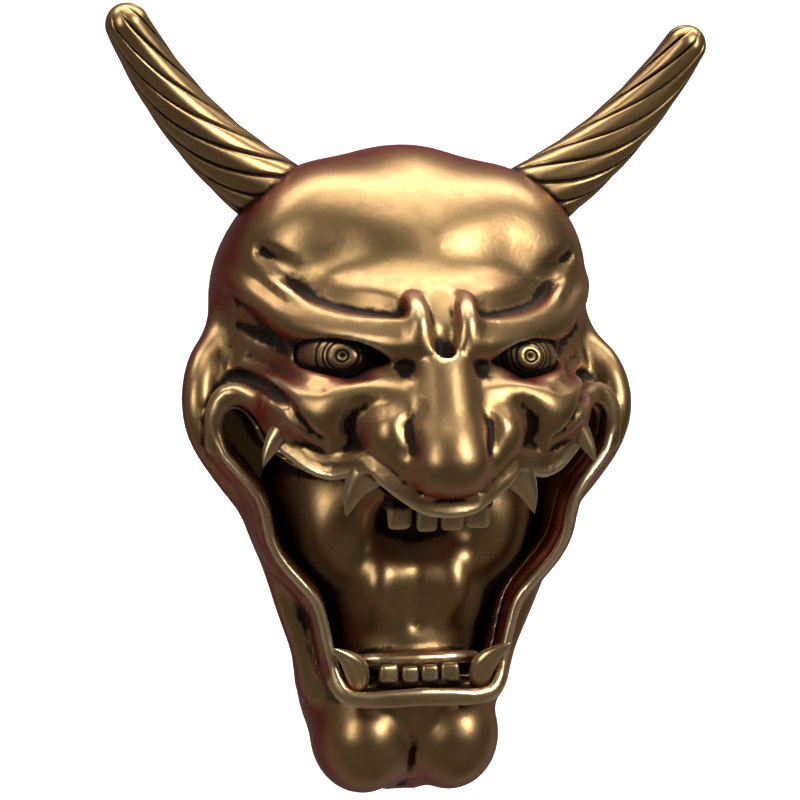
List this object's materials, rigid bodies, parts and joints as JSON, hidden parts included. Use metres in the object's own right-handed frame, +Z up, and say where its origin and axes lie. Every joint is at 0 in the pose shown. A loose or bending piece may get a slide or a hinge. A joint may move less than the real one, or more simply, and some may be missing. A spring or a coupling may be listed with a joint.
{
  "type": "noh mask",
  "caption": "Horned demon noh mask for the wall: hollow antiqued bronze face with gaping fanged mouth, fitted ridged horns, inset eyes and a swinging hanging ring behind.",
  "frame": {"origin": "inside top of the hanging ring, the point that bears on the wall hook, on the mask's middle plane", "axes": "+Z up as it hangs, the face looks toward -Y with the wall behind it at y = +3.5 mm, +X toward a viewer's right"},
  "size_m": [0.196, 0.0962, 0.2541],
  "materials": {
    "cast_bronze": "satin antiqued bronze, dark patina in the hollows, rubbed edges",
    "horn_bronze": "satin antiqued bronze, darker and redder toward the edges",
    "gilt_bronze": "rubbed bright bronze",
    "plated_steel": "dull zinc plating",
    "brown_felt": "dense wool felt"
  },
  "bodies": {
    "mask": {"face_shell": "cast_bronze", "mouth_lining": "cast_bronze", "horn_left": "horn_bronze", "horn_right": "horn_bronze", "eye_left": "gilt_bronze", "eye_right": "gilt_bronze", "teeth_upper": "gilt_bronze", "teeth_lower": "gilt_bronze", "fang_upper_outer_left": "gilt_bronze", "fang_upper_outer_right": "gilt_bronze", "fang_upper_inner_left": "gilt_bronze", "fang_upper_inner_right": "gilt_bronze", "fang_lower_left": "gilt_bronze", "fang_lower_right": "gilt_bronze", "hanger_bar": "plated_steel", "ring_clip": "plated_steel", "bar_screw_left": "plated_steel", "bar_screw_right": "plated_steel", "clip_rivet_upper": "plated_steel", "clip_rivet_lower": "plated_steel", "horn_washer_left": "plated_steel", "horn_washer_right": "plated_steel", "horn_nut_left": "plated_steel", "horn_nut_right": "plated_steel", "wall_pad_top": "brown_felt", "wall_pad_left": "brown_felt", "wall_pad_right": "brown_felt", "wall_pad_foot_left": "brown_felt", "wall_pad_foot_right": "brown_felt"},
    "ring": {"hang_ring": "plated_steel"}
  },
  "joints": [
    {"name": "ring_swing", "type": "hinge", "parent": "mask", "child": "ring", "pos_m": [0, 0, -0.016], "axis": [-1, 0, 0], "range_deg": [0, 170]}
  ]
}
